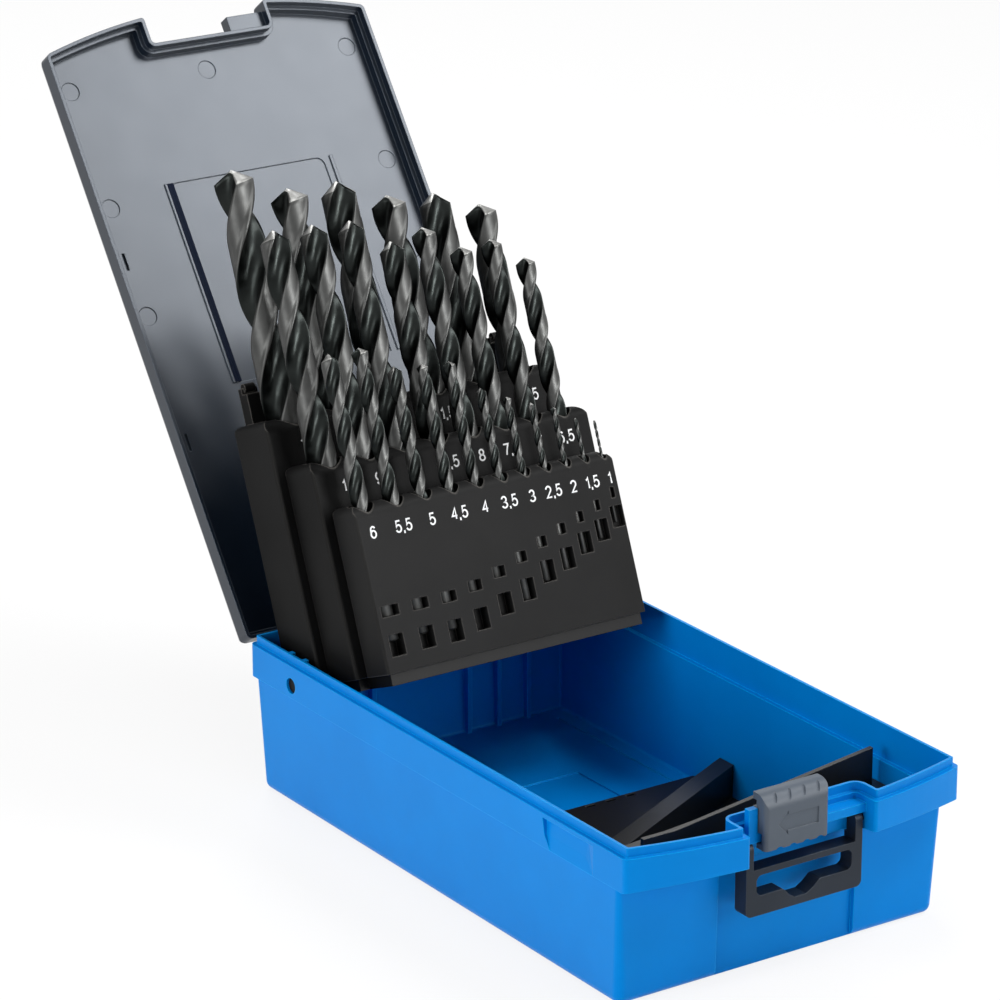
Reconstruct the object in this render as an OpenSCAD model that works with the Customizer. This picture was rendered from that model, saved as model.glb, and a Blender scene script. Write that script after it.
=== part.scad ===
// Hinged case for 25 twist drills, shown open, with the drill racks lifted.
// Origin: centre of the base's underside. X is the width, -Y the latch end, +Y the hinge end.

/* [Case] */
// Width of the base over its rim band
case_w = 125; // [122:0.5:140]
// Length of the base from the band's front corners to its back face
case_l = 209; // [205:0.5:225]
// Height of the rim band's top, where the lid rests
band_top = 50.7; // [50.5:0.1:54]
// Height of the rim band itself
band_h = 11.1; // [9:0.1:12]
// How far the rim bows out at the middle of the front
bow = 9; // [7:0.5:11]
// Wall thickness of the base
wall = 2.4; // [2:0.1:2.6]
// Floor thickness of the base
floor_t = 2.2; // [1.6:0.1:2.6]
// Rounding of the band's vertical corners
corner_r = 2; // [1.5:0.5:4]
// Rounding of the base's bottom edges
foot_r = 3; // [1:0.5:4]
// Step from the band in to the side walls
side_set = 1.6; // [1:0.1:1.9]
// Step from the band's front corners back to the front wall
front_set = 5.5; // [5:0.1:7]
// How far the walls draw in from the band down to the floor
draft = 1.2; // [0.5:0.1:1.5]
// Depth of the finger grips in the sides of the band
grip_d = 1.7; // [1:0.1:1.8]
// Length of the finger grips
grip_l = 26; // [20:1:30]
// Depth of the channel behind the hanging bail
channel_d = 1.6; // [1:0.1:1.8]

/* [Rim and lid] */
// Height of the lip that locates the lid
lip_h = 2.8; // [2:0.1:3]
// Step from the band in to the lip
lip_in = 1.5; // [1.4:0.1:1.6]
// Thickness of the lip
lip_t = 0.9; // [0.8:0.1:1]
// Height of the lid above the band
lid_h = 8.2; // [8.2:0.1:12]
// Thickness of the lid's roof
lid_roof = 1.8; // [1.2:0.1:1.8]
// Rounding of the lid's outer top edge
lid_r = 2.5; // [1:0.5:4]
// Angle between the closed and the open lid
lid_open = 126; // [100:1:126]
// Clearance between parts that slide or nest
gap = 0.3; // [0.25:0.05:0.4]

/* [Hinges] */
// Distance of each hinge from the side of the case
hinge_in = 24.5; // [18:0.5:32]
// Distance of the hinge axis behind the back face
hinge_out = 0.7; // [0.7:0.1:1]
// Outer diameter of the hinge knuckles
knuckle_d = 5.6; // [5:0.1:6]
// Diameter of the hinge pins
hinge_pin_d = 2.4; // [2:0.1:3]
// Length of one hinge pin
hinge_pin_l = 24; // [20:1:30]

/* [Latch] */
// Left edge of the latch recess in the front band
recess_x0 = -22.5; // [-23:0.1:-22.2]
// Right edge of the latch recess in the front band
recess_x1 = 24.2; // [24:0.1:25]
// Depth of the latch recess behind the band's front corners
recess_in = 1.9; // [1.5:0.1:2]
// Rounding of the recess's front corners
recess_r = 1; // [1:0.5:3]
// Width of the sliding latch
latch_w = 23.8; // [20:0.1:24]
// Travel of the latch from open to locked
latch_travel = 12.5; // [10:0.5:12.5]
// Thickness of the latch's front plate
latch_t = 1.8; // [1.5:0.1:2]
// Height of the latch's lower edge
latch_z = 43.9; // [43.5:0.1:44.5]

/* [Hang bail] */
// Height of the bail's hinge axis
bail_z = 43.5; // [43.3:0.1:43.7]
// Height of the bail from its axis to its lower edge
bail_h = 21.5; // [19:0.1:24]
// Width of the bail
bail_w = 43.4; // [40:0.1:43.6]
// Middle of the bail, seen from the middle of the case
bail_x = 1.5; // [1.2:0.1:1.6]
// Thickness of the bail
bail_t = 4.4; // [4:0.1:4.6]
// Width of the bail's arms
bail_arm = 2.6; // [2:0.1:2.8]
// Diameter of the bail's stub pins
bail_pin_d = 2.6; // [2:0.1:3]

/* [Racks] */
// Lean of the lifted racks from upright
holder_lean = 22; // [15:1:25]
// Distance of the rack pivot in front of the base's back face
pivot_in = 25; // [24:0.5:27]
// Height of the rack pivot
pivot_z = 43.9; // [43.8:0.1:44.1]
// Distance from the front rack's face back to the pivot
pivot_depth = 41; // [40.8:0.05:41.1]
// Height of the pivot above the racks' underside
pivot_rise = 1.85; // [1.5:0.05:2.5]
// Diameter of the pivot pins
pivot_d = 5; // [4:0.1:5.2]
// Height of the front rack
front_rack_h = 54.5; // [50:0.5:60]
// Rise from one rack's top to the next one's
rack_step = 16; // [14:0.5:18]
// Width of the front rack
front_rack_w = 100; // [98:0.5:102]
// Width of the middle rack
middle_rack_w = 107; // [105:0.5:109]
// Width of the back rack
back_rack_w = 113; // [110:0.5:113.5]
// Depth of the front rack
front_rack_d = 14.3; // [12:0.1:15]
// Depth of the middle rack
middle_rack_d = 17.8; // [16:0.1:18]
// Depth of the back rack
back_rack_d = 21.6; // [20:0.1:21.8]
// Plastic in front of each drill's bore
face_wall = 1; // [1:0.1:2]
// How much wider the mouth of each bore is than its drill
mouth = 2; // [1.2:0.1:2.4]
// Radius of the racks' front top edge
brow_r = 4.5; // [3:0.5:6]

/* [Drills] */
// Diameter of the largest drill
largest_d = 13; // [13:0.5:13]
// Step in diameter from one drill to the next
step_d = 0.5; // [0.5:0.5:0.5]
// Play of a drill in its bore, on the diameter
bore_play = 0.6; // [0.4:0.1:0.8]
// Length of one flute turn as a share of the diameter
flute_lead = 5.6; // [5:0.1:7]

/* [Retainer] */
// Thickness of the tip retainer's plates
retainer_t = 1.6; // [1.2:0.1:1.8]
// Reach of its floor plate behind the band's front corners
retainer_reach = 128; // [118:1:130]
// Height of its front shelf
shelf_z = 35; // [30:0.5:35]
// Height of the thin wall on the shelf
screen_h = 12.5; // [8:0.5:13]
// Height of the wedge rib's top
wedge_z = 15; // [12:0.5:16]

/* [Hidden] */
$fn = 48;
front_y = -case_l / 2;
back_y = case_l / 2;
band_bottom = band_top - band_h;
ledge_z = band_bottom + wall;
front_wall_y = front_y + front_set;
back_set = side_set / 2;
bow_radius = (pow(case_w / 2, 2) + bow * bow) / (2 * bow);
bow_centre_y = front_y - bow + bow_radius;
cavity_r = 1;
recess_y = front_y + recess_in;
hinge_y = back_y + hinge_out;
hinge_z = band_top + 0.2;
hinge_x = case_w / 2 - hinge_in;
lid_top = band_top + lid_h;
lid_inner = lid_top - lid_roof;
rebate = lip_in - gap;
rebate_top = band_top + lip_h + gap;
lid_wall = lip_in + lip_t + gap;
fascia_z0 = bail_z + bail_t / 2 + gap;
fascia_z1 = band_top - 1.9;
fascia_y = front_y - 3;
fascia_t = 1.5;
latch_x0 = recess_x0 + 6.2;
latch_back_y = fascia_y - 1.7;
latch_front_y = latch_back_y - latch_t;
latch_hook_z = lid_top + gap;
bail_y = recess_y - gap - bail_t / 2;
bail_slot_w = bail_w - 2 * bail_arm;
bail_slot_r = bail_y - latch_front_y + 0.6;
pivot_y = back_y - pivot_in;
rack_gap = gap;
rack_w = [front_rack_w, middle_rack_w, back_rack_w];
rack_y = [0, front_rack_d, front_rack_d + middle_rack_d];
rack_d = [front_rack_d, middle_rack_d, back_rack_d];
rack_h = [front_rack_h, front_rack_h + rack_step, front_rack_h + 2 * rack_step];
racks_d = front_rack_d + middle_rack_d + back_rack_d;
carrier_t = 3.8;
ear_t = 1.5;
ear_r = 6;
ear_x = back_rack_w / 2 + gap;
peg_d = 4;

// Drills from the largest to the smallest: overall and fluted length, and height above the racks' underside
overall_l = [151, 151, 151, 142, 142, 133, 133, 125, 125, 117, 117, 109, 109, 101,
    93, 93, 86, 80, 75, 70, 61, 57, 49, 40, 34];
flute_l = [101, 101, 101, 94, 94, 87, 87, 81, 81, 75, 75, 69, 69, 63,
    57, 57, 52, 47, 43, 39, 33, 30, 24, 18, 12];
stand_z = [17, 8, 7.5, 9, 7, 9.5, 12.5, 20, 19, 18, 20.5, 20, 20.5, 20.5,
    10, 10, 9, 14, 18, 12.5, 17, 17.5, 22.5, 26.5, 30.5];
// Height of the lower and upper windows in front of each small drill
window_z = [5.2, 5.4, 5.2, 6.9, 9.8, 12.6, 16.8, 19.3, 22.9, 25.7, 28.9];
upper_window_z = [18, 18, 18, 19.5, 22, 25, 28.2, 30.8, 33.2, 35.6, 38.5];
window_h = 7;
upper_window_h = 3.5;
// First drill, number of drills, plastic between bores and sideways shift, for each rack from the front
row_first = [14, 6, 0];
row_count = [11, 8, 6];
row_web = [5.64, 4.6, 6];
row_shift = [0, -1.2, -0.6];

function drill_d(i) = largest_d - step_d * i;
function drill_row(i) = i < row_first[1] ? 2 : i < row_first[0] ? 1 : 0;
function total_d(a, b) = a > b ? 0 : drill_d(a) + total_d(a + 1, b);
function row_last(r) = row_first[r] + row_count[r] - 1;
function row_span(r) = total_d(row_first[r], row_last(r)) + (row_count[r] - 1) * row_web[r];
function drill_x(i) =
    let (r = drill_row(i), first = row_first[r])
    row_shift[r] - row_span(r) / 2 + total_d(first, i - 1) + (i - first) * row_web[r] + drill_d(i) / 2;
function drill_y(i) = rack_y[drill_row(i)] + face_wall + (drill_d(i) + bore_play) / 2;
function drill_name(i) =
    str("drill_", floor(drill_d(i)), "_", (drill_d(i) - floor(drill_d(i))) * 10);

drill_names = [for (i = [0 : len(overall_l) - 1]) drill_name(i)];

// Points on an arc with its two ends, and only those between its ends
function arc(c, r, a0, a1, n) = [for (k = [0 : n]) c + r * [cos(a0 + (a1 - a0) * k / n), sin(a0 + (a1 - a0) * k / n)]];
function arc_inside(c, r, a0, a1, n) = [for (k = [1 : n - 1]) c + r * [cos(a0 + (a1 - a0) * k / n), sin(a0 + (a1 - a0) * k / n)]];

// Circles that round the bowed front into the sides, and into the recess whose edge is at x
front_angle = 270;
function bow_r(inset) = bow_radius - inset;
function inner_r(r, inset) = max(r - inset, 0.6);
function bow_y(x, r, inset) = bow_centre_y - sqrt(pow(bow_r(inset) - r, 2) - x * x);
function bow_swing(x, r, inset) = asin(x / (bow_r(inset) - r));

// Sides and back of the rim from the right front corner to the left one, moved inwards by an inset
function rim_sides(inset) =
    let (
        r = inner_r(corner_r, inset),
        cx = case_w / 2 - inset - r,
        front = bow_y(cx, r, inset),
        back = back_y - inset - r,
        swing = bow_swing(cx, r, inset)
    )
    concat(
        arc([cx, front], r, front_angle + swing, 360, 6),
        arc([cx, back], r, 0, 90, 6),
        arc([-cx, back], r, 90, 180, 6),
        arc([-cx, front], r, 180, front_angle - swing, 6)
    );
function rim_swing(inset) =
    let (r = inner_r(corner_r, inset)) bow_swing(case_w / 2 - inset - r, r, inset);
function bow_arc(inset, a0, a1, n) =
    arc_inside([0, bow_centre_y], bow_r(inset), front_angle + a0, front_angle + a1, n);
function rim_points(inset) =
    concat(rim_sides(inset), bow_arc(inset, -rim_swing(inset), rim_swing(inset), 24));

// The rim's outline with the latch recess let into its front, its corners rounded
function recess_points(inset) =
    let (
        r = inner_r(recess_r, inset),
        hollow_r = 1.5 + inset,
        left = recess_x0 - inset,
        right = recess_x1 + inset,
        swing_l = bow_swing(left - r, r, inset),
        swing_r = bow_swing(right + r, r, inset)
    )
    concat(
        rim_sides(inset),
        bow_arc(inset, -rim_swing(inset), swing_l, 9),
        arc([left - r, bow_y(left - r, r, inset)], r, front_angle + swing_l, 360, 6),
        arc([left + hollow_r, recess_y + inset - hollow_r], hollow_r, 180, 90, 6),
        arc([right - hollow_r, recess_y + inset - hollow_r], hollow_r, 90, 0, 6),
        arc([right + r, bow_y(right + r, r, inset)], r, 180, front_angle + swing_r, 6),
        bow_arc(inset, swing_r, rim_swing(inset), 9)
    );

module rim_shape(inset) {
    polygon(recess_points(inset));
}

module rim_ring(inset, thick, z0, z1) {
    translate([0, 0, z0]) linear_extrude(z1 - z0) difference() {
        rim_shape(inset);
        rim_shape(inset + thick);
    }
}

module block(x0, x1, y0, y1, z0, z1) {
    translate([x0, y0, z0]) cube([x1 - x0, y1 - y0, z1 - z0]);
}

module rod_x(d, x0, x1) {
    translate([x0, 0, 0]) rotate([0, 90, 0]) cylinder(d = d, h = x1 - x0);
}

module on_both_sides() {
    children();
    mirror([1, 0, 0]) children();
}

// Lower body of the base, rounded below and drawn in towards the floor; the inset gives its cavity
module tub(inset, z0, z1, r) {
    edge_r = min(r, 1.5);
    half = case_w / 2 - side_set - inset;
    y0 = front_wall_y + inset;
    y1 = back_y - back_set - inset;
    hull() for (sx = [-1, 1]) {
        for (y = [y0 + draft + r, y1 - draft - r])
            translate([sx * (half - draft - r), y, z0 + r * cos(180 / 24)]) sphere(r = r, $fn = 24);
        for (y = [y0 + edge_r, y1 - edge_r])
            translate([sx * (half - edge_r), y, z1 - 1]) cylinder(r = edge_r, h = 1, $fn = 24);
    }
}

// Space round a hinge axis along one stretch of the case
module hinge_space(x0, x1, d) {
    translate([0, hinge_y, hinge_z]) rod_x(d, x0, x1);
}

module hinge_bore(d) {
    on_both_sides() hinge_space(hinge_x - hinge_pin_l / 2 - 1, hinge_x + hinge_pin_l / 2 + 1, d);
}

// Stretches of the two base knuckles of one hinge and of the lid's knuckle between them
knuckle_in = hinge_pin_l / 6;
knuckle_end = hinge_pin_l / 2;

module base_knuckles() {
    on_both_sides() for (s = [-1, 1]) {
        x0 = hinge_x + (s > 0 ? knuckle_in + gap / 2 : -knuckle_end);
        x1 = hinge_x + (s > 0 ? knuckle_end : -knuckle_in - gap / 2);
        hinge_space(x0, x1, knuckle_d);
        block(x0, x1, back_y - wall, hinge_y + knuckle_d / 2 - 0.6, hinge_z - knuckle_d, hinge_z - knuckle_d / 4);
    }
}

module floor_relief() {
    panel_half = 30;
    groove_x = 51;
    block(-panel_half, panel_half, front_y + 20, front_y + 155, floor_t - 0.5, floor_t + 1);
    on_both_sides() block(groove_x - 0.5, groove_x + 0.5, front_y + 12, back_y - 12, floor_t - 0.5, floor_t + 1);
}

module back_ribs() {
    on_both_sides() for (x = [19, 31, 43])
        block(x - 0.8, x + 0.8, back_y - back_set - wall - 3.4, back_y - wall, floor_t - 0.1, band_bottom - 2);
}

// Two ribs on each side wall that lead the rack pins down to their bores
module pivot_guides() {
    on_both_sides() for (s = [-1, 1])
        translate([0, pivot_y + s * (pivot_d / 2 + 1.5), 0])
            block(ear_x + ear_t + gap, case_w / 2 - wall + 0.2, -0.9, 0.9, ledge_z - 0.2, band_top + lip_h);
}

module base_front() {
    ledge_t = 1.4;
    post_w = 3.2;
    // Fascia strip that the latch slides on, with the ledge that carries it
    block(recess_x0 - 1, recess_x1 + 1, fascia_y, fascia_y + fascia_t, fascia_z0, fascia_z1);
    block(recess_x0 - 1, recess_x1 + 1, fascia_y, recess_y + 1, fascia_z1 - ledge_t, fascia_z1);
    // Stop post at the latch's open end
    block(latch_x0 - gap - post_w, latch_x0 - gap, fascia_y, fascia_y + 2.2, fascia_z0, lid_top - 2);
}

// Finger grips under the rim on both sides: scoops that fade out downwards, each with a ramp at its front
module finger_grips() {
    from = front_y + 16;
    ramp = 4.8;
    // Depth below the rim, share of the grip's depth and how much shorter the grip is
    levels = [[1.6, 1, 0], [band_h * 0.6, 0.6, 1], [band_h + 0.1, 0.03, 4]];
    on_both_sides() hull() for (v = levels)
        translate([case_w / 2, from, band_top - v[0]]) linear_extrude(0.1)
            polygon([[0, 0], [1, 0], [1, grip_l - v[2]], [-grip_d * v[1], grip_l - v[2]], [-grip_d * v[1], ramp]]);
}

// Channel down the front wall, as drafted as the wall itself
module bail_channel() {
    x0 = recess_x0 - 1.5;
    x1 = recess_x1 + 3.8;
    floor_y = front_wall_y + channel_d;
    hull() {
        block(x0, x1, front_y - bow, floor_y + draft, -0.2, -0.1);
        block(x0, x1, front_y - bow, floor_y, band_bottom - 0.1, band_bottom);
    }
}

// The band's underside rises towards the middle of the bowed front
module band_slope() {
    rise = 1.5;
    translate([-case_w, 0, band_bottom]) rotate([90, 0, 90]) linear_extrude(2 * case_w)
        polygon([[front_y + 2, 0], [front_y - bow - 1, rise], [front_y - bow - 1, -1], [front_y + 2, -1]]);
}

module base_tray() {
    color("#1f7fd6") difference() {
        union() {
            difference() {
                union() {
                    intersection() {
                        tub(0, -0.02, ledge_z, foot_r);
                        block(-case_w, case_w, -case_l, case_l, 0, ledge_z);
                    }
                    translate([0, 0, band_bottom]) linear_extrude(wall) rim_shape(0);
                }
                tub(wall, floor_t, ledge_z + 1, cavity_r);
            }
            rim_ring(0, wall, band_bottom, band_top);
            rim_ring(lip_in, lip_t, band_top - 1, band_top + lip_h);
            base_knuckles();
            back_ribs();
            pivot_guides();
            base_front();
        }
        floor_relief();
        // Bores of the hinge pins, and room for the lid's knuckles
        hinge_bore(hinge_pin_d + gap);
        on_both_sides() hinge_space(hinge_x - knuckle_in - gap / 2, hinge_x + knuckle_in + gap / 2, knuckle_d + 2 * gap);
        // Bores of the rack pivots and of the bail
        translate([0, pivot_y, pivot_z]) rod_x(pivot_d + gap, -case_w, case_w);
        translate([0, bail_y, bail_z]) rod_x(bail_pin_d + gap, recess_x0 - 2 * wall, recess_x1 + 2 * wall);
        bail_channel();
        finger_grips();
        band_slope();
    }
}

// The lid is drawn closed and then swung open about the hinge axis
module lid_swing() {
    translate([0, hinge_y, hinge_z]) rotate([-lid_open, 0, 0]) translate([0, -hinge_y, -hinge_z]) children();
}

module lid_body() {
    intersection() {
        hull() {
            translate([0, 0, hinge_z]) linear_extrude(lid_top - lid_r - hinge_z) polygon(rim_points(0));
            translate([0, 0, lid_top - lid_r]) linear_extrude(lid_r * 0.7) polygon(rim_points(lid_r * 0.3));
            translate([0, 0, lid_top - 0.3]) linear_extrude(0.3) polygon(rim_points(lid_r));
        }
        linear_extrude(lid_top + 1) rim_shape(0);
    }
}

// Inside of the lid's roof: rails beside the label field, and the field, slots and round marks sunk in it
panel_x0 = -30.5;
panel_x1 = 30;
panel_y0 = front_y + 49.8;
panel_y1 = front_y + 122;

module lid_rails() {
    left_w = 2.2;
    right_x = 32.4;
    right_w = 1.2;
    rise = 0.5;
    block(panel_x0 - left_w, panel_x0, panel_y0, panel_y1, lid_inner - rise, lid_inner + 0.5);
    block(right_x, right_x + right_w, panel_y0, panel_y1, lid_inner - rise, lid_inner + 0.5);
}

module lid_marks() {
    r = 3;
    mark_d = 6.5;
    mark_x = 54.3;
    slot_x = -56.3;
    slot_l = 6;
    translate([0, 0, lid_inner - 0.1]) linear_extrude(0.5) {
        translate([panel_x0, panel_y0 + r]) square([panel_x1 - panel_x0, panel_y1 - panel_y0 - r]);
        translate([panel_x0 + r, panel_y0]) square([panel_x1 - panel_x0 - 2 * r, r]);
        for (x = [panel_x0 + r, panel_x1 - r]) translate([x, panel_y0 + r]) circle(r = r);
    }
    for (y = [73.9, 138.7])
        block(slot_x - 0.5, slot_x + 0.5, front_y + y - slot_l / 2, front_y + y + slot_l / 2, lid_inner - 0.1, lid_inner + 1);
    // Round marks at the front, middle and back
    for (y = [12, 54.7, 93.7], x = y < 20 ? [-55, -2, mark_x] : [-55, mark_x])
        translate([x, front_y + y, lid_inner - 0.1]) cylinder(d = mark_d, h = 0.4);
}

module lid_shell() {
    lug_x0 = latch_x0 + latch_w + 2.6;
    color("#3c4650") lid_swing() difference() {
        union() {
            difference() {
                lid_body();
                // Cavity, and the rebate that drops over the base's lip
                linear_extrude(lid_inner) rim_shape(lid_wall);
                linear_extrude(rebate_top) rim_shape(rebate);
            }
            // Lug that the latch hooks over
            block(lug_x0, recess_x1 + 1, latch_back_y + gap + 0.1, recess_y + 1, rebate_top, lid_top - 0.5);
            lid_rails();
            lid_knuckles();
        }
        lid_marks();
        hinge_bore(hinge_pin_d + gap);
        on_both_sides() for (s = [-1, 1])
            hinge_space(hinge_x + (s > 0 ? knuckle_in - gap / 2 : -knuckle_end - gap),
                hinge_x + (s > 0 ? knuckle_end + gap : -knuckle_in + gap / 2), knuckle_d + 2 * gap);
    }
}

module lid_knuckles() {
    on_both_sides() {
        hinge_space(hinge_x - knuckle_in + gap / 2, hinge_x + knuckle_in - gap / 2, knuckle_d);
        block(hinge_x - knuckle_in + gap / 2, hinge_x + knuckle_in - gap / 2, back_y - rebate,
            hinge_y + knuckle_d / 2 - 0.6, hinge_z + knuckle_d / 4, hinge_z + knuckle_d);
    }
}

module hinge_pin(side) {
    color("silver") hinge_space(side * hinge_x - hinge_pin_l / 2, side * hinge_x + hinge_pin_l / 2, hinge_pin_d);
}

// Cross-section of the latch: a front plate that curls back over the rim
latch_hook_t = 2.2;
latch_top = latch_hook_z + latch_hook_t;
latch_curl_r = 4.5;
latch_hook_l = 6.3;

module latch_outline() {
    translate([latch_front_y, latch_z]) square([latch_t, latch_top - latch_z - latch_curl_r]);
    translate([latch_front_y + latch_curl_r, latch_top - latch_hook_t]) square([latch_hook_l - latch_curl_r, latch_hook_t]);
    translate([latch_front_y + latch_curl_r, latch_top - latch_curl_r]) intersection() {
        circle(r = latch_curl_r);
        translate([-latch_curl_r, -latch_curl_r / 2]) square([latch_curl_r + 0.1, 2 * latch_curl_r]);
    }
}

module latch_profile() {
    rib_z = fascia_z0 - gap;
    difference() {
        union() {
            latch_outline();
            // Ribs that grip the fascia strip
            translate([latch_front_y + 1, rib_z - 1.7]) square([latch_t + 1.5, 1.7]);
            translate([latch_front_y + 1, fascia_z1 + gap]) square([latch_t + 1.4, 1.2]);
        }
        translate([latch_back_y, latch_hook_z - 6]) square([6, 6]);
    }
}

// The latch's left end is closed, except where the fascia strip passes through
module latch_end() {
    clear_z = fascia_z1 + gap;
    translate([latch_front_y, clear_z]) square([latch_hook_l, latch_hook_z - clear_z]);
    latch_profile();
}

module latch_slider() {
    end_t = 1.2;
    groove_n = 4;
    groove_d = 0.9;
    edge_r = 1.5;
    curl_in = latch_curl_r * (1 - cos(45));
    color("#566373") difference() {
        intersection() {
            translate([latch_x0, 0, 0]) rotate([90, 0, 90]) {
                linear_extrude(latch_w) latch_profile();
                linear_extrude(end_t) intersection() {
                    latch_end();
                    union() {
                        latch_outline();
                        translate([latch_front_y, 0]) square([latch_hook_l, latch_top - latch_curl_r]);
                    }
                }
            }
            // Rounded front edges in plan, and rounded lower corners
            linear_extrude(latch_top + 1) hull() {
                for (x = [latch_x0 + edge_r, latch_x0 + latch_w - edge_r])
                    translate([x, latch_front_y + edge_r]) circle(r = edge_r);
                translate([latch_x0, latch_front_y + latch_hook_l]) square([latch_w, 1]);
            }
        }
        // Finger grooves across the curl
        for (k = [0 : groove_n - 1])
            translate([latch_x0 + 4.5 + k * 5.3, latch_front_y + curl_in, latch_top - curl_in])
                rotate([-45, 0, 0]) rotate([0, 20, 0]) cylinder(d = groove_d, h = 3.6, center = true);
        // Wavy lower edge
        for (k = [0 : 3])
            translate([latch_x0 + 5.5 + k * 5, latch_front_y - 1, latch_z - 1.2])
                rotate([-90, 0, 0]) cylinder(r = 1.8, h = latch_t + 1);
        // Sunk arrow that points to the open end
        translate([latch_x0 + 4.8, latch_front_y + 0.35, latch_z + 7.7]) rotate([90, 0, 0]) linear_extrude(1)
            polygon([[0, 0], [3.6, 3.8], [3.6, 2.6], [15, 2.6], [15, -2.6], [3.6, -2.6], [3.6, -3.8]]);
    }
}

// Outline of the bail below its axis: a frame with an upper slot and a hanging slot
module bail_profile() {
    half = bail_w / 2;
    r = 2;
    bar_h = 2;
    eye_half = bail_slot_w / 2 - 1.2;
    eye_top = -bail_slot_r - bar_h;
    eye_h = 6.6;
    dip = 3.7;
    difference() {
        union() {
            translate([-half, -bail_h + r]) square([2 * half, bail_h - r]);
            translate([-half + r, -bail_h]) square([2 * (half - r), r + 1]);
            for (s = [-1, 1]) translate([s * (half - r), -bail_h + r]) circle(r = r);
        }
        // Upper slot, which lets the swung bail clear the latch
        translate([-bail_slot_w / 2, -bail_slot_r]) square([bail_slot_w, bail_slot_r + 1]);
        // Hanging slot with its centring dip
        translate([-eye_half, eye_top - eye_h + r]) square([2 * eye_half, eye_h - 2 * r]);
        translate([-eye_half + r, eye_top - eye_h]) square([2 * (eye_half - r), eye_h]);
        for (sx = [-1, 1], z = [eye_top - r, eye_top - eye_h + r]) translate([sx * (eye_half - r), z]) circle(r = r);
        translate([0, eye_top - eye_h])
            polygon([[-8.4, 0.2], [-7.2, -0.6], [-5.4, -dip + 1.1], [-3.6, -dip], [0.8, -dip],
                [3.4, -dip + 1.5], [5.6, -0.2], [7, 0.2]]);
    }
}

module hang_bail() {
    half = bail_w / 2;
    back_t = 1.1;
    pin_in = 1.6;
    color("#26282b") translate([bail_x, bail_y, bail_z]) {
        translate([0, bail_t / 2, 0]) rotate([90, 0, 0]) linear_extrude(bail_t) bail_profile();
        // Thicker below the band
        intersection() {
            translate([0, bail_t / 2 + back_t, 0]) rotate([90, 0, 0]) linear_extrude(bail_t) bail_profile();
            block(-half, half, 0, bail_t, -bail_h, band_bottom - 0.6 - bail_z);
        }
        on_both_sides() rod_x(bail_t, half - bail_arm, half);
        // Stub pins that reach into both walls of the recess
        rod_x(bail_pin_d, recess_x0 - bail_x - pin_in, -half + 1);
        rod_x(bail_pin_d, half - 1, recess_x1 - bail_x + pin_in);
    }
}

// Tip retainer: a floor plate with a wedge rib, and a front shelf with a thin wall
module retainer_plates() {
    half = case_w / 2;
    front = front_y + 1;
    reach = front_y + retainer_reach;
    riser_l = front_y + 34;
    riser_r = riser_l + 16;
    screen_x0 = -45;
    screen_bend_x = -32.5;
    screen_x1 = 54.5;
    screen_l = front_y + 16.5;
    screen_r = screen_l + 17;
    wedge_l = front_y + 54.5;
    wedge_r = wedge_l + 62;
    wedge_w = 7.4;
    slot_w = 3.8;
    slot_step = 8;
    difference() {
        block(-half, half, front, reach, 0, floor_t + retainer_t);
        for (k = [0 : 2]) translate([13 + k * slot_step, reach - 2.3, 0]) cube([slot_w, 1.4, wedge_z]);
    }
    linear_extrude(wedge_z)
        polygon([[-half, wedge_l - wedge_w], [half, wedge_r - wedge_w], [half, wedge_r], [-half, wedge_l]]);
    linear_extrude(shelf_z)
        polygon([[-half, riser_l - retainer_t], [half, riser_r - retainer_t], [half, riser_r], [-half, riser_l]]);
    translate([0, 0, shelf_z - retainer_t]) linear_extrude(retainer_t)
        polygon([[-half, front], [half, front], [half, riser_r], [-half, riser_l]]);
    translate([0, 0, shelf_z - retainer_t]) linear_extrude(screen_h + retainer_t)
        polygon([[screen_x0, screen_l - retainer_t], [screen_bend_x, screen_l - retainer_t],
            [screen_x1, screen_r - retainer_t], [screen_x1, screen_r], [screen_bend_x, screen_l], [screen_x0, screen_l]]);
}

module tip_retainer() {
    color("#2b2d30") intersection() {
        tub(wall + gap, floor_t, shelf_z + screen_h, cavity_r);
        retainer_plates();
    }
}

// Racks, carrier and drills are drawn upright from the pivot and then leaned back
module holder_place() {
    translate([0, pivot_y, pivot_z]) rotate([-holder_lean, 0, 0]) translate([0, -pivot_depth, -pivot_rise]) children();
}

module carrier_pegs(d, z0, z1) {
    for (r = [0 : 2], s = [-1, 1])
        translate([s * (rack_w[r] / 2 - 8), rack_y[r] + rack_d[r] / 2, z0]) cylinder(d = d, h = z1 - z0);
}

module drill_carrier() {
    color("#1d1e20") holder_place() difference() {
        union() {
            for (r = [0 : 2])
                block(-rack_w[r] / 2 + 1.5, rack_w[r] / 2 - 1.5, rack_y[r] + 1.5, racks_d, -carrier_t, 0);
            // Ears with the pivot pins
            on_both_sides() {
                block(ear_x - 2, ear_x + ear_t, pivot_depth - ear_r, pivot_depth + ear_r, -carrier_t, -gap);
                block(ear_x, ear_x + ear_t, pivot_depth - ear_r, pivot_depth + ear_r, -carrier_t, pivot_rise);
                translate([0, pivot_depth, pivot_rise]) rod_x(2 * ear_r, ear_x, ear_x + ear_t);
                translate([0, pivot_depth, pivot_rise]) rod_x(pivot_d, ear_x + ear_t - 0.5, case_w / 2 - 0.8);
            }
        }
        carrier_pegs(peg_d + gap, -carrier_t - 1, 1);
    }
}

// Side profile of a rack, rounded at its brow and along its back
module rack_profile(depth, height) {
    back_r = 1.5;
    union() {
        square([depth, height - brow_r]);
        translate([brow_r, 0]) square([depth - brow_r - back_r, height]);
        translate([depth - back_r - 1, 0]) square([back_r + 1, height - back_r]);
        translate([brow_r, height - brow_r]) circle(r = brow_r);
        translate([depth - back_r, height - back_r]) circle(r = back_r);
    }
}

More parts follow.
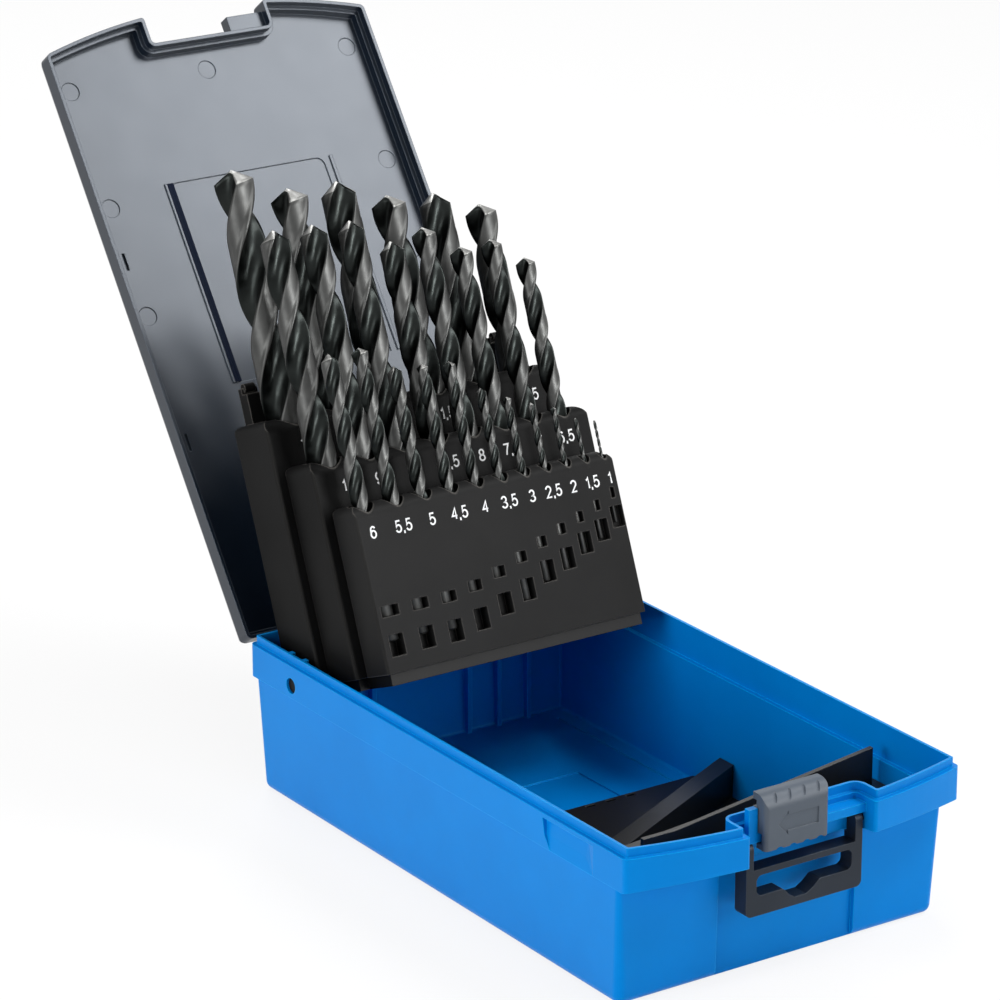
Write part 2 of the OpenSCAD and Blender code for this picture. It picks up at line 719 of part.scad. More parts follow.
module rack_plan(width, depth) {
    r = 1;
    union() {
        translate([-width / 2 + r, 0]) square([width - 2 * r, depth]);
        translate([-width / 2, r]) square([width, depth - 2 * r]);
        for (x = [-width / 2 + r, width / 2 - r], y = [r, depth - r]) translate([x, y]) circle(r = r);
    }
}

// Front view of a rack, with its upper corners rounded, the right one more than the left one
module rack_front(width, height, left_r, right_r) {
    half = width / 2;
    hull() {
        translate([-half, 0]) square([width, height - right_r]);
        translate([-half + left_r, height - left_r]) circle(r = left_r);
        translate([half - right_r, height - right_r]) circle(r = right_r);
    }
}

// One rack: a rounded block with a stepped row of bores, each with a wider mouth that opens the brow
module rack(r) {
    depth = rack_d[r] - rack_gap;
    left_r = 3;
    right_r = [5.5, 5, 7];
    translate([0, rack_y[r], 0]) difference() {
        union() {
            intersection() {
                translate([-rack_w[r] / 2, 0, 0]) rotate([90, 0, 90]) linear_extrude(rack_w[r])
                    rack_profile(depth, rack_h[r]);
                linear_extrude(rack_h[r] + 1) rack_plan(rack_w[r], depth);
                translate([0, depth + 1, 0]) rotate([90, 0, 0]) linear_extrude(depth + 2)
                    rack_front(rack_w[r], rack_h[r], left_r, right_r[r]);
            }
            for (s = [-1, 1]) translate([s * (rack_w[r] / 2 - 8), rack_d[r] / 2, -carrier_t + 0.8])
                cylinder(d = peg_d, h = carrier_t);
        }
        for (i = [row_first[r] : row_last(r)]) translate([drill_x(i), drill_y(i) - rack_y[r], 0]) {
            translate([0, 0, stand_z[i]]) cylinder(d = drill_d(i) + bore_play, h = rack_h[r]);
            translate([0, 0, rack_h[r] - brow_r]) cylinder(d = drill_d(i) + mouth, h = brow_r + 1);
        }
    }
}

module front_rack() {
    window_w = 5.4;
    color("#3a3b3d") holder_place() difference() {
        rack(0);
        for (k = [0 : row_count[0] - 1]) {
            i = row_first[0] + k;
            w = window_w - 0.04 * k;
            upper_w = drill_d(i) + bore_play;
            block(drill_x(i) - w / 2, drill_x(i) + w / 2, -1, drill_y(i) + 1, window_z[k], window_z[k] + window_h);
            block(drill_x(i) - upper_w / 2, drill_x(i) + upper_w / 2, -1, drill_y(i), upper_window_z[k],
                upper_window_z[k] + upper_window_h);
        }
    }
}

module middle_rack() {
    color("#353638") holder_place() rack(1);
}

module back_rack() {
    arm_x = 45.5;
    arm_w = 6;
    arm_d = 5;
    arm_h = 11;
    color("#303133") holder_place() {
        rack(2);
        // Arms that reach up to the lid's rails
        on_both_sides() translate([0, racks_d - rack_gap - arm_d, rack_h[2] - 1]) {
            block(arm_x, arm_x + arm_w, 0, arm_d, -1, arm_h);
            block(arm_x, arm_x + arm_w, arm_d - 2, arm_d, arm_h - 1, arm_h + 2);
            translate([0, arm_d - 1.6, arm_h + 2]) rod_x(3, arm_x + 1, arm_x + arm_w - 1);
        }
    }
}

// Cross-section of the fluted part as angle and share of the radius, for half a turn
flute_section = [[0, 1], [35, 1], [68, 0.9], [100, 0.36], [145, 0.36]];
rings_per_turn = 10;
point_angle = 118;
body_share = 0.97;

// One ring of a flute: open is 0 at the shank and 1 along the flutes, size shrinks it at the point
function flute_ring(r, z, turn, open, size) =
    [for (half = [0, 180], p = flute_section)
        let (rr = r * size * (1 - (1 - p[1]) * open), a = half + p[0] + turn) [rr * cos(a), rr * sin(a), z]];

module flutes(i) {
    d = drill_d(i);
    r = body_share * d / 2;
    z0 = overall_l[i] - flute_l[i];
    point_h = r / tan(point_angle / 2);
    z1 = overall_l[i] - point_h;
    lead = flute_lead * d;
    n = ceil((z1 - z0) / lead * rings_per_turn);
    m = 2 * len(flute_section);
    sunk = flute_ring(r, z0 - d / 4, 0, 0, 1);
    body = [for (k = [0 : n]) let (z = z0 + (z1 - z0) * k / n)
        flute_ring(r, z, 360 * (z - z0) / lead, min(1, (z - z0) / (1.2 * d)), 1)];
    tip = flute_ring(r, overall_l[i] - 0.15 * point_h, 360 * (z1 - z0 + point_h) / lead, 1, 0.15);
    rings = concat([sunk], body, [tip]);
    last = len(rings) - 1;
    points = [for (ring = rings) each ring];
    faces = concat(
        [[for (k = [0 : m - 1]) k]],
        [for (j = [0 : last - 1], k = [0 : m - 1]) let (a = j * m + k, b = j * m + (k + 1) % m)
            each [[a, a + m, b + m], [a, b + m, b]]],
        [[for (k = [m - 1 : -1 : 0]) last * m + k]]
    );
    polyhedron(points, faces, convexity = 4);
}

module drill(i) {
    color("#3f4246") holder_place() translate([drill_x(i), drill_y(i), stand_z[i]]) {
        cylinder(d = drill_d(i), h = overall_l[i] - flute_l[i]);
        flutes(i);
    }
}

base_tray();
lid_shell();
hinge_pin(-1);  // hinge_pin_left
hinge_pin(1);  // hinge_pin_right
latch_slider();
hang_bail();
tip_retainer();
drill_carrier();
front_rack();
middle_rack();
back_rack();
for (i = [0 : len(drill_names) - 1]) drill(i);
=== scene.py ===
import bpy
import bmesh
import math
from mathutils import Matrix, Vector


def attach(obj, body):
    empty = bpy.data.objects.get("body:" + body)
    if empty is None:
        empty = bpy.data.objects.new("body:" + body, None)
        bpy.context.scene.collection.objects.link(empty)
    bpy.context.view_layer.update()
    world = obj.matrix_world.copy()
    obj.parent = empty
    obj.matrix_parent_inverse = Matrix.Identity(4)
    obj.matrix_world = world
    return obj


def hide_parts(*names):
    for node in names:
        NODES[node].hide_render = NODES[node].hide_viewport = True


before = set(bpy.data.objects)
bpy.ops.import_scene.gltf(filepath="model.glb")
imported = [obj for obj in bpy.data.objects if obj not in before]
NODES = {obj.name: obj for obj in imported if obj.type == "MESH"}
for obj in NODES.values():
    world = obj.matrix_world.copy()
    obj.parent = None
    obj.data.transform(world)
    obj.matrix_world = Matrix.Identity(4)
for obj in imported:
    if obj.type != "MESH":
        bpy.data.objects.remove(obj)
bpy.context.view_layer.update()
MM = 0.001
TO_METRES = Matrix.Scale(MM, 4)


# ---------------------------------------------------------------- materials
NOISE_ROUGHNESS = 0.55
# Noise values between which a surface goes from one gloss to the other, and from its dark to its light colour
NOISE_SPAN = (0.3, 0.7)
COLOUR_SPAN = (0.3, 0.72)
# Dot product of the rounded and the true normal on flat stretches and at an edge, between which the painted
# edge highlight fades in
EDGE_HIGHLIGHT_SPAN = (0.995, 0.86)
BEVEL_SAMPLES = 4


class Mat:
    """Builds a node material around one Principled shader."""

    def __init__(self, name):
        self.m = bpy.data.materials.new(name)
        self.m.use_nodes = True
        self.t = self.m.node_tree
        self.p = self.t.nodes["Principled BSDF"]

    def node(self, kind, **settings):
        n = self.t.nodes.new(kind)
        for key, value in settings.items():
            setattr(n, key, value)
        return n

    def link(self, a, b):
        self.t.links.new(a, b)

    def coords(self):
        return self.node("ShaderNodeTexCoord").outputs["Object"]

    def noise(self, vec, scale, detail):
        n = self.node("ShaderNodeTexNoise")
        n.inputs["Scale"].default_value = scale
        n.inputs["Detail"].default_value = detail
        n.inputs["Roughness"].default_value = NOISE_ROUGHNESS
        self.link(vec, n.inputs["Vector"])
        return n.outputs["Fac"]

    def ramp(self, fac, dark, light):
        r = self.node("ShaderNodeValToRGB")
        for stop, place, colour in zip(r.color_ramp.elements, COLOUR_SPAN, (dark, light)):
            stop.position = place
            stop.color = (*colour, 1)
        self.link(fac, r.inputs["Fac"])
        return r.outputs["Color"]

    def value_range(self, fac, lo, hi, span=NOISE_SPAN):
        r = self.node("ShaderNodeMapRange")
        r.inputs["From Min"].default_value = span[0]
        r.inputs["From Max"].default_value = span[1]
        r.inputs["To Min"].default_value = lo
        r.inputs["To Max"].default_value = hi
        self.link(fac, r.inputs["Value"])
        return r.outputs["Result"]

    def bump(self, fac, strength, distance, normal=None):
        b = self.node("ShaderNodeBump")
        b.inputs["Strength"].default_value = strength
        b.inputs["Distance"].default_value = distance
        self.link(fac, b.inputs["Height"])
        if normal is not None:
            self.link(normal, b.inputs["Normal"])
        return b.outputs["Normal"]

    def bevel(self, radius):
        b = self.node("ShaderNodeBevel", samples=BEVEL_SAMPLES)
        b.inputs["Radius"].default_value = radius
        return b.outputs["Normal"]

    def edges(self, radius):
        """Mask for the painted edge highlight: 1 along the edges within the radius and 0 on flat stretches.
        """
        geometry = self.node("ShaderNodeNewGeometry")
        dot = self.node("ShaderNodeVectorMath", operation="DOT_PRODUCT")
        self.link(self.bevel(radius), dot.inputs[0])
        self.link(geometry.outputs["True Normal"], dot.inputs[1])
        return self.value_range(dot.outputs["Value"], 0.0, 1.0, EDGE_HIGHLIGHT_SPAN)

    def mix(self, fac, a, b):
        m = self.node("ShaderNodeMix", data_type="RGBA")
        self.link(fac, m.inputs["Factor"])
        self.link(a, m.inputs["A"])
        m.inputs["B"].default_value = (*b, 1)
        return m.outputs["Result"]


# Scales are cycles of noise in a metre; depths and the width of an edge are in metres
BLOTCH_SCALE, SHEEN_SCALE = 30, 93
PLASTIC_SHEEN = 0.01
PLASTIC_GRAIN_DEPTH = 0.0001


def plastic(name, dark, light, rough, grain, grain_strength, edge, edge_highlight_colour=None,
            specular=0.5, tint=(1, 1, 1)):
    """A moulded plastic: slow colour variation, fine grain, edges rounded in the shading, and a lighter
    colour painted along the edges as a highlight.
    """
    m = Mat(name)
    v = m.coords()
    colour = m.ramp(m.noise(v, BLOTCH_SCALE, 4), dark, light)
    # A lighter colour painted along the edges: a painted highlight
    if edge_highlight_colour:
        colour = m.mix(m.edges(edge), colour, edge_highlight_colour)
    m.link(colour, m.p.inputs["Base Color"])
    sheen = m.value_range(m.noise(v, SHEEN_SCALE, 3), rough - PLASTIC_SHEEN, rough + PLASTIC_SHEEN)
    m.link(sheen, m.p.inputs["Roughness"])
    grain_bump = m.bump(m.noise(v, grain, 2), grain_strength, PLASTIC_GRAIN_DEPTH, m.bevel(edge))
    m.link(grain_bump, m.p.inputs["Normal"])
    m.p.inputs["Specular IOR Level"].default_value = specular
    m.p.inputs["Specular Tint"].default_value = (*tint, 1)
    return m.m


# The colour after each edge width below is painted along that material's edges as a highlight
BLUE = plastic("case_blue", (0.0, 0.190, 0.59), (0.0, 0.215, 0.65), 0.36, 2600, 0.05, 0.0004,
               (0.0, 0.42, 0.90), specular=0.16, tint=(0.15, 0.7, 1.0))
LID_SLATE = plastic("lid_slate", (0.0035, 0.0075, 0.015), (0.0045, 0.009, 0.018), 0.30, 2400, 0.02, 0.0004,
                    (0.05, 0.065, 0.085), specular=0.5, tint=(0.86, 0.92, 1.0))
# Matte dark navy for a strip that paints the shade along the lid's left rail
NAVY_PAINTED_SHADE = plastic("strip_navy_painted_shade", (0.001, 0.004, 0.014), (0.002, 0.006, 0.020), 0.5, 2000, 0.1, 0.0002,
               specular=0.04)
SLATE = plastic("latch_slate", (0.055, 0.072, 0.095), (0.066, 0.084, 0.110), 0.48, 2200, 0.2, 0.0003,
                (0.10, 0.12, 0.15), specular=0.3)
BAIL = plastic("bail_black", (0.010, 0.012, 0.017), (0.015, 0.018, 0.025), 0.42, 2200, 0.2, 0.0003,
               (0.055, 0.06, 0.072), specular=0.25, tint=(0.7, 0.84, 1.0))
RETAINER = plastic("retainer_black", (0.003, 0.003, 0.003), (0.006, 0.006, 0.006), 0.38, 2000, 0.15, 0.0003,
                   (0.06, 0.058, 0.056), specular=0.3)
CARRIER = plastic("carrier_black", (0.002, 0.002, 0.002), (0.004, 0.004, 0.004), 0.5, 2000, 0.2, 0.0003,
                  specular=0.12)
# Lighter grey painted along the racks' edges as a highlight
RACK_EDGE_HIGHLIGHT = (0.11, 0.105, 0.098)
RACK = plastic("rack_grey", (0.010, 0.010, 0.010), (0.014, 0.014, 0.014), 0.46, 1900, 0.2, 0.0006,
               RACK_EDGE_HIGHLIGHT, specular=0.05)
# A darker copy of the rack grey for the middle and back racks: painted shade for the shadow the drills in
# front cast on their faces
RACK_PAINTED_SHADE = plastic("rack_grey_painted_shade", (0.004, 0.004, 0.004), (0.007, 0.007, 0.007), 0.46, 1900, 0.2, 0.0006,
                    RACK_EDGE_HIGHLIGHT, specular=0.05)

WEAR_SCALE, SMEAR_SCALE, METAL_GRAIN = 160, 500, 3000
SMEAR_LESS, SMEAR_MORE = 0.04, 0.06
METAL_GRAIN_STRENGTH, METAL_GRAIN_DEPTH = 0.07, 0.00005


def metal(name, dark, light, rough, metallic=1.0):
    """Steel with worn lighter patches, uneven gloss and a fine grain."""
    m = Mat(name)
    v = m.coords()
    m.link(m.ramp(m.noise(v, WEAR_SCALE, 4), dark, light), m.p.inputs["Base Color"])
    smear = m.value_range(m.noise(v, SMEAR_SCALE, 3), rough - SMEAR_LESS, rough + SMEAR_MORE)
    m.link(smear, m.p.inputs["Roughness"])
    grain = m.noise(v, METAL_GRAIN, 2)
    m.link(m.bump(grain, METAL_GRAIN_STRENGTH, METAL_GRAIN_DEPTH), m.p.inputs["Normal"])
    m.p.inputs["Metallic"].default_value = metallic
    return m.m


LAND = metal("drill_land", (0.040, 0.041, 0.040), (0.066, 0.067, 0.065), 0.44, 0.75)
# The flutes' steel is darker than the lands': painted shade in the hollow flutes
FLUTE_PAINTED_SHADE = metal("drill_flute_painted_shade", (0.013, 0.0148, 0.0142), (0.022, 0.025, 0.024), 0.33)
GROUND = metal("drill_ground", (0.17, 0.17, 0.165), (0.28, 0.28, 0.27), 0.36)
STEEL = metal("pin_steel", (0.45, 0.45, 0.46), (0.6, 0.6, 0.61), 0.3)

INK = plastic("label_white", (0.80, 0.81, 0.82), (0.88, 0.89, 0.90), 0.5, 1500, 0.1, 0.00005)

# The middle and back racks take the darker copy of the rack grey, which is painted shade
LOOKS = {
    "base_tray": BLUE, "lid_shell": LID_SLATE, "hinge_pin_left": STEEL, "hinge_pin_right": STEEL,
    "latch_slider": SLATE, "hang_bail": BAIL, "tip_retainer": RETAINER, "drill_carrier": CARRIER,
    "front_rack": RACK, "middle_rack": RACK_PAINTED_SHADE, "back_rack": RACK_PAINTED_SHADE,
}
for name, material in LOOKS.items():
    for slot in NODES[name].material_slots:
        slot.material = material


def new_object(name, data):
    o = bpy.data.objects.new(name, data)
    bpy.context.scene.collection.objects.link(o)
    return o


def new_mesh(name, bm, place, *materials):
    """Turns a bmesh in millimetres into a mesh in metres at its place, and frees the bmesh."""
    me = bpy.data.meshes.new(name)
    bm.to_mesh(me)
    bm.free()
    me.transform(place @ TO_METRES)
    for material in materials:
        me.materials.append(material)
    return me


def shift(x, y, z):
    return Matrix.Translation((x * MM, y * MM, z * MM))


def tilt(degrees):
    return Matrix.Rotation(math.radians(degrees), 4, "X")


# ---------------------------------------------------------------- racks and drills, in millimetres
LEAN = 22.0
PIVOT_Y, PIVOT_Z = 79.5, 43.9
PIVOT_DEPTH, PIVOT_RISE = 41.0, 1.85
# From the front row to the back row
RACK_Y = [0.0, 14.3, 32.1]
FIRST, COUNT = [14, 6, 0], [11, 8, 6]
WEB, ROW_SHIFT = [5.64, 4.6, 6.0], [0.0, -1.2, -0.6]
FACE_WALL, BORE_PLAY = 1.0, 0.6
LARGEST, STEP = 13.0, 0.5
# From the 13 mm drill to the 1 mm drill: both lengths, and the height of each shank's foot in its rack
OVERALL = [151, 151, 151, 142, 142, 133, 133, 125, 125, 117, 117, 109, 109, 101,
           93, 93, 86, 80, 75, 70, 61, 57, 49, 40, 34]
FLUTED = [101, 101, 101, 94, 94, 87, 87, 81, 81, 75, 75, 69, 69, 63,
          57, 57, 52, 47, 43, 39, 33, 30, 24, 18, 12]
STAND = [17, 8, 7.5, 9, 7, 9.5, 12.5, 20, 19, 18, 20.5, 20, 20.5, 20.5,
         10, 10, 9, 14, 18, 12.5, 17, 17.5, 22.5, 26.5, 30.5]
# How far each drill's point is turned about its own axis, in degrees
TURN = [104, 95, 176, 112, 0, 110, 14, 2, 4, 0, 110, 112, 115, 118,
        30, 100, 10, 70, 120, 0, 90, 45, 130, 20, 60]

HOLDER = shift(0, PIVOT_Y, PIVOT_Z) @ tilt(-LEAN) @ shift(0, -PIVOT_DEPTH, -PIVOT_RISE)


def drill_d(i):
    return LARGEST - STEP * i


def drill_row(i):
    return 2 if i < FIRST[1] else 1 if i < FIRST[0] else 0


def drill_x(i):
    r = drill_row(i)
    first, count = FIRST[r], COUNT[r]
    span = sum(drill_d(k) for k in range(first, first + count)) + (count - 1) * WEB[r]
    before = sum(drill_d(k) for k in range(first, i)) + (i - first) * WEB[r]
    return ROW_SHIFT[r] - span / 2 + before + drill_d(i) / 2


def drill_y(i):
    return RACK_Y[drill_row(i)] + FACE_WALL + (drill_d(i) + BORE_PLAY) / 2


# Half of the fluted section, as angle and share of the radius: heel, land, margin and a round flute
HEEL, LIP, WEB_THIN = -11.5, 68.0, 114.0
SECTION = [(HEEL, 0.965), (-2, 0.965), (10, 0.965), (22, 0.965), (34, 0.965), (45, 0.965), (54, 0.965),
           (56.5, 0.995), (62, 1.0), (LIP, 1.0), (68.4, 0.877), (68.8, 0.754), (69.6, 0.629), (71, 0.503),
           (75, 0.385), (86, 0.288), (100, 0.248), (WEB_THIN, 0.238), (128, 0.245), (141, 0.272),
           (151, 0.318), (158.5, 0.385), (163, 0.47), (165.6, 0.58), (166.9, 0.70), (167.8, 0.83)]
# Share of the radius beyond which the surface counts as land
LAND_SHARE = 0.9
POINT_TAN = math.tan(math.radians(59))
RELIEF_SLOPE = 0.19
# Modelled diameter as a share of the nominal one; helix lead, run-out and the shank's end in diameters
BODY_SHARE = 0.992
LEAD, RUN_OUT, SHANK_END = 5.6, 1.1, 0.05
RINGS_PER_TURN, FEWEST_RINGS = 44, 8
POINT_RINGS = (0.8, 0.55, 0.3, 0.1)
# Chamfer at the shank's foot: the largest one, its share of the diameter, and its height off the stand
FOOT, FOOT_SHARE, FOOT_LIFT = 0.6, 0.12, 0.02
SHARP_EDGE = math.radians(38)
LAND_INDEX, FLUTE_INDEX, GROUND_INDEX = 0, 1, 2


def relief(angle):
    """How far behind the cutting lip a point of the section lies, in radians."""
    if angle <= LIP:
        return math.radians(LIP - angle)
    if angle <= WEB_THIN:
        return 0.0
    return math.radians((LIP - HEEL) * (angle - WEB_THIN) / (180 - WEB_THIN + HEEL))


def polar(radius, degrees, z):
    a = math.radians(degrees)
    return Vector((radius * math.cos(a), radius * math.sin(a), z))


def smooth_step(t):
    t = min(1.0, t)
    return t * t * (3 - 2 * t)


def drill_rings(d, overall, fluted, point_turn):
    """Rings of points from foot to tip, the index of the last one below the ground point, and the section."""
    r = BODY_SHARE * d / 2
    z0 = overall - fluted
    lead = LEAD * d
    section = [(a + half, s, relief(a)) for half in (0, 180) for a, s in SECTION]
    foot_turn = point_turn - 360 * fluted / lead
    foot = min(FOOT, d * FOOT_SHARE)

    def circle(radius, z):
        return [polar(radius, a + foot_turn, z) for a, s, b in section]

    def point_z(share, behind):
        return overall - share * r / POINT_TAN - RELIEF_SLOPE * share * r * behind

    rings = [circle(r - foot, FOOT_LIFT), circle(r, foot + FOOT_LIFT), circle(r, z0 - SHANK_END * d)]
    steps = max(FEWEST_RINGS, int(fluted / lead * RINGS_PER_TURN))
    for k in range(steps + 1):
        ring = []
        for a, s, b in section:
            z = z0 + (point_z(s, b) - z0) * k / steps
            depth = smooth_step((z - z0) / (RUN_OUT * d))
            ring.append(polar(r * (1 - (1 - s) * depth), a + foot_turn + 360 * (z - z0) / lead, z))
        rings.append(ring)
    body_end = len(rings) - 1
    for f in POINT_RINGS:
        rings.append([Vector((p.x * f, p.y * f, point_z(s * f, b)))
                      for p, (a, s, b) in zip(rings[body_end], section)])
    return rings, body_end, section


def drill_mesh(name, i):
    rings, body_end, section = drill_rings(drill_d(i), OVERALL[i], FLUTED[i], TURN[i])
    bm = bmesh.new()
    verts = [[bm.verts.new(p) for p in ring] for ring in rings]
    count = len(section)
    for k in range(len(verts) - 1):
        for j in range(count):
            n = (j + 1) % count
            face = bm.faces.new((verts[k][j], verts[k][n], verts[k + 1][n], verts[k + 1][j]))
            face.smooth = True
            # Flute faces take the darker steel, which paints shade into the flutes
            land = min(section[j][1], section[n][1]) > LAND_SHARE
            shank = k < 2
            face.material_index = (GROUND_INDEX if k >= body_end else
                                   LAND_INDEX if land or shank else FLUTE_INDEX)
    bm.faces.new(list(reversed(verts[0])))
    bm.faces.new(verts[-1]).material_index = GROUND_INDEX
    for e in bm.edges:
        if len(e.link_faces) == 2 and e.calc_face_angle(0) > SHARP_EDGE:
            e.smooth = False
    place = HOLDER @ shift(drill_x(i), drill_y(i), STAND[i])
    return new_mesh(name, bm, place, LAND, FLUTE_PAINTED_SHADE, GROUND)


for i in range(len(OVERALL)):
    node = "drill_%d_%d" % divmod(round(drill_d(i) * 10), 10)
    name = "twist_" + node
    o = new_object(name, drill_mesh(name, i))
    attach(o, "holder")
    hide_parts(node)


# ---------------------------------------------------------------- size numbers, in millimetres
LABEL_Z = [45.0, 61.2, 77.0]
# How far each row's first and last number stand from their drills
LABEL_SHIFT = [(0.0, 0.0), (3.8, -1.5), (1.5, -1.1)]
LABEL_OUT = 0.04
DIGIT_H, DIGIT_GAP, STROKE = 4.1, 0.42, 0.56
DIGIT_W, ONE_W, COMMA_W = 2.45, 1.617, 0.62
# The least cosine that a corner's mitre is worked out with
MITRE = 0.55


def arc(cx, cy, rx, ry, a0, a1, n=14):
    angles = [math.radians(a0 + (a1 - a0) * k / n) for k in range(n + 1)]
    return [(cx + rx * math.cos(a), cy + ry * math.sin(a)) for a in angles]


# Strokes of each digit in a box one wide and one high
STROKES = {
    "0": [arc(0.5, 0.5, 0.5, 0.5, 0, 360, 24)],
    "1": [[(0.12, 0.76), (0.36, 0.84), (0.52, 1.0), (0.52, 0.0)]],
    "2": [arc(0.5, 0.72, 0.48, 0.28, 170, -35) + [(0.04, 0.0), (1.0, 0.0)]],
    "3": [arc(0.48, 0.745, 0.44, 0.255, 165, -90) + arc(0.48, 0.25, 0.5, 0.25, 85, -165)],
    "4": [[(0.74, 0.0), (0.74, 1.0), (0.0, 0.3), (1.0, 0.3)]],
    "5": [[(0.92, 1.0), (0.2, 1.0), (0.08, 0.5)] + arc(0.48, 0.32, 0.5, 0.32, 140, -160)],
    "6": [arc(0.52, 0.62, 0.46, 0.38, 35, 150) + arc(0.5, 0.32, 0.48, 0.32, 165, 525, 22)],
    "7": [[(0.0, 1.0), (1.0, 1.0), (0.62, 0.5), (0.38, 0.0)]],
    "8": [arc(0.5, 0.755, 0.42, 0.245, -90, 270, 20), arc(0.5, 0.255, 0.5, 0.255, 90, 450, 20)],
    "9": [arc(0.48, 0.38, 0.46, 0.38, 215, 330) + arc(0.5, 0.68, 0.48, 0.32, -15, 345, 22)],
    ",": [[(0.5, 0.06), (0.5, -0.06), (0.1, -0.2)]],
}


def ribbon(bm, points):
    """A flat band, one stroke wide, along a line of points."""
    points = [Vector((p[0], 0, p[1])) for p in points]
    left, right = [], []
    for k, p in enumerate(points):
        a = (p - points[k - 1]).normalized() if k else None
        b = (points[k + 1] - p).normalized() if k + 1 < len(points) else None
        t = ((a or b) + (b or a)).normalized()
        side = Vector((-t.z, 0, t.x)) * STROKE / 2 / max(MITRE, t.dot(a or b))
        left.append(bm.verts.new(p + side))
        right.append(bm.verts.new(p - side))
    for k in range(len(points) - 1):
        bm.faces.new((left[k], right[k], right[k + 1], left[k + 1]))


def number_mesh(name, text, x, y, z):
    """A printed size number, a hair in front of the rack's face."""
    bm = bmesh.new()
    advance = {",": COMMA_W, "1": ONE_W}
    at = -sum(advance.get(c, DIGIT_W) + DIGIT_GAP for c in text) / 2 + DIGIT_GAP / 2
    for c in text:
        width = (COMMA_W if c == "," else DIGIT_W) - STROKE
        for stroke in STROKES[c]:
            ribbon(bm, [(at + px * width + STROKE / 2, (py - 0.5) * (DIGIT_H - STROKE))
                        for px, py in stroke])
        at += advance.get(c, DIGIT_W) + DIGIT_GAP
    bmesh.ops.recalc_face_normals(bm, faces=bm.faces)
    return new_mesh(name, bm, HOLDER @ shift(x, y, z), INK)


for i in range(len(OVERALL)):
    r = drill_row(i)
    text = ("%g" % drill_d(i)).replace(".", ",")
    first, last = LABEL_SHIFT[r]
    along = (i - FIRST[r]) / (COUNT[r] - 1)
    name = "size_" + text.replace(",", "_")
    x = drill_x(i) + first + (last - first) * along
    o = new_object(name, number_mesh(name, text, x, RACK_Y[r] - LABEL_OUT, LABEL_Z[r]))
    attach(o, "holder")


# ---------------------------------------------------------------- dark strip on the lid's left rail, painted shade along the rail's edge
LID_OPEN = 126
HINGE_Y, HINGE_Z = 105.2, 50.9
LID = shift(0, HINGE_Y, HINGE_Z) @ tilt(-LID_OPEN) @ shift(0, -HINGE_Y, -HINGE_Z)
# Section across the strip and its ends along the rail, with the lid closed
STRIP = [(-31.9, 57.3), (-31.9, 56.5), (-31.05, 56.5), (-31.0, 56.57), (-30.5, 56.57), (-30.45, 56.5),
         (-29.5, 56.5), (-29.5, 57.3)]
STRIP_ENDS = (-54.6, 17.4)


def strip_mesh(name):
    bm = bmesh.new()
    near, far = [[bm.verts.new((x, y, z)) for x, z in STRIP] for y in STRIP_ENDS]
    for k in range(len(STRIP)):
        n = (k + 1) % len(STRIP)
        bm.faces.new((near[k], near[n], far[n], far[k]))
    bm.faces.new(list(reversed(near)))
    bm.faces.new(far)
    bmesh.ops.recalc_face_normals(bm, faces=bm.faces)
    return new_mesh(name, bm, LID, NAVY_PAINTED_SHADE)


strip = new_object("lid_painted_shade_strip", strip_mesh("lid_painted_shade_strip"))
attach(strip, "lid")


# ---------------------------------------------------------------- floor and world
FLOOR_HALF = 7000
FLOOR_GREY, FLOOR_ROUGH = 0.9, 0.7
# How much of what is seen of the floor is plain white; the rest takes the shadow
FLOOR_WHITE = 0.85
# Strength of the world's light on the object; where it is seen or mirrored its strength is 1
FILL = 0.2


def seen_rays(tree):
    """1 for camera, glossy and transmission rays, and 0 for the rays that only light the object."""
    path = tree.nodes.new("ShaderNodeLightPath")
    seen = path.outputs["Is Camera Ray"]
    for kind in ("Is Glossy Ray", "Is Transmission Ray"):
        either = tree.nodes.new("ShaderNodeMath")
        either.operation = "MAXIMUM"
        tree.links.new(seen, either.inputs[0])
        tree.links.new(path.outputs[kind], either.inputs[1])
        seen = either.outputs[0]
    return seen


def floor_material():
    m = Mat("floor_white")
    white = m.node("ShaderNodeEmission")
    share = m.node("ShaderNodeMath", operation="MULTIPLY")
    both = m.node("ShaderNodeMixShader")
    white.inputs["Color"].default_value = (1, 1, 1, 1)
    white.inputs["Strength"].default_value = 1.0
    m.link(seen_rays(m.t), share.inputs[0])
    share.inputs[1].default_value = FLOOR_WHITE
    m.p.inputs["Base Color"].default_value = (FLOOR_GREY, FLOOR_GREY, FLOOR_GREY, 1)
    m.p.inputs["Roughness"].default_value = FLOOR_ROUGH
    m.link(share.outputs[0], both.inputs["Fac"])
    m.link(m.p.outputs[0], both.inputs[1])
    m.link(white.outputs[0], both.inputs[2])
    m.link(both.outputs[0], m.t.nodes["Material Output"].inputs["Surface"])
    return m.m


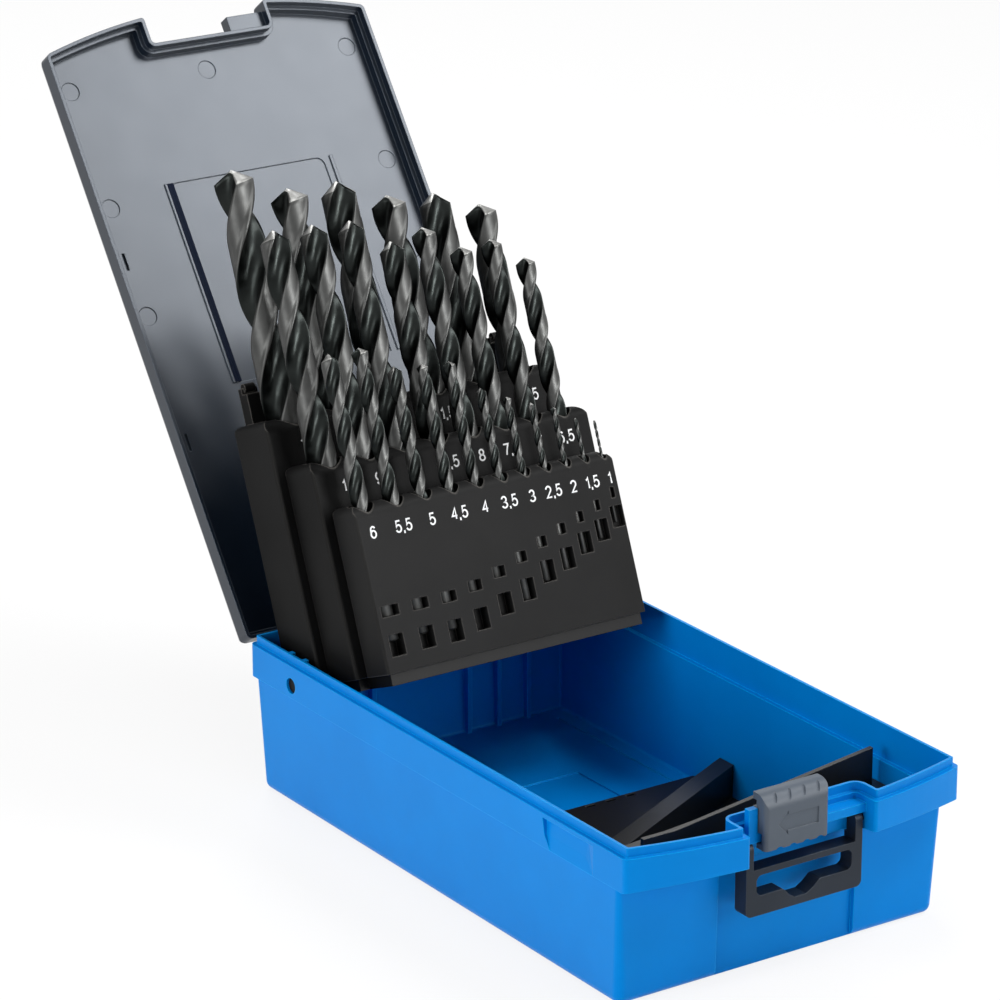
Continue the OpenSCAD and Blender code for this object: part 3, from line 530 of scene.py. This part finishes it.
def floor_mesh(name, material):
    bm = bmesh.new()
    bmesh.ops.create_grid(bm, x_segments=4, y_segments=4, size=FLOOR_HALF)
    return new_mesh(name, bm, Matrix(), material)


floor = new_object("floor", floor_mesh("floor", floor_material()))

world = bpy.data.worlds.new("studio")
bpy.context.scene.world = world
world.use_nodes = True
tree = world.node_tree
strength = tree.nodes.new("ShaderNodeMath")
strength.operation = "MAXIMUM"
strength.inputs[1].default_value = FILL
tree.links.new(seen_rays(tree), strength.inputs[0])
background = tree.nodes["Background"]
background.inputs["Color"].default_value = (1, 1, 1, 1)
tree.links.new(strength.outputs[0], background.inputs["Strength"])


# ---------------------------------------------------------------- lamps and camera
LIT = Vector((0, 0.02, 0.1))
# Direction from the lit point, distance, width, height and power of each lamp, in metres and watts
LAMPS = {
    "key": ((0.56, -0.30, 0.78), 1.3, 0.5, 0.5, 11),
    "front_right": ((0.54, -0.79, 0.28), 1.4, 1.0, 0.6, 5),
    "streak": ((0.25, -0.90, 0.36), 1.4, 0.4, 0.9, 26),
    "left_fill": ((-1.0, -0.15, 0.25), 1.4, 0.7, 0.7, 11.5),
    "top": ((-0.1, 0.2, 1.0), 1.4, 0.7, 0.7, 7),
    "back_rim": ((0.4, 1.0, 0.7), 1.4, 0.5, 0.5, 5),
}


def softbox(name, direction, distance, width, height, power):
    lamp = bpy.data.lights.new(name, "AREA")
    lamp.shape = "RECTANGLE"
    lamp.size = width
    lamp.size_y = height
    lamp.energy = power
    o = new_object(name, lamp)
    d = Vector(direction).normalized()
    o.location = LIT + d * distance
    o.rotation_euler = d.to_track_quat("Z", "Y").to_euler()
    return o


lamps = {name: softbox(name, *values) for name, values in LAMPS.items()}
# The streaks in the flutes come from a lamp that only reflections show
lamps["streak"].visible_diffuse = False

camera = bpy.data.cameras.new("camera")
camera.sensor_width = 36
camera.lens = 169.04
camera.shift_x = -0.01065
camera.shift_y = 0.00936
camera.clip_start = 0.01
o = new_object("camera", camera)
o.location = (-0.7917, -1.1155, 0.6072)
o.rotation_euler = (math.radians(70.21), 0, math.radians(-34.28))
bpy.context.scene.camera = o

bpy.context.scene.view_settings.view_transform = "Standard"
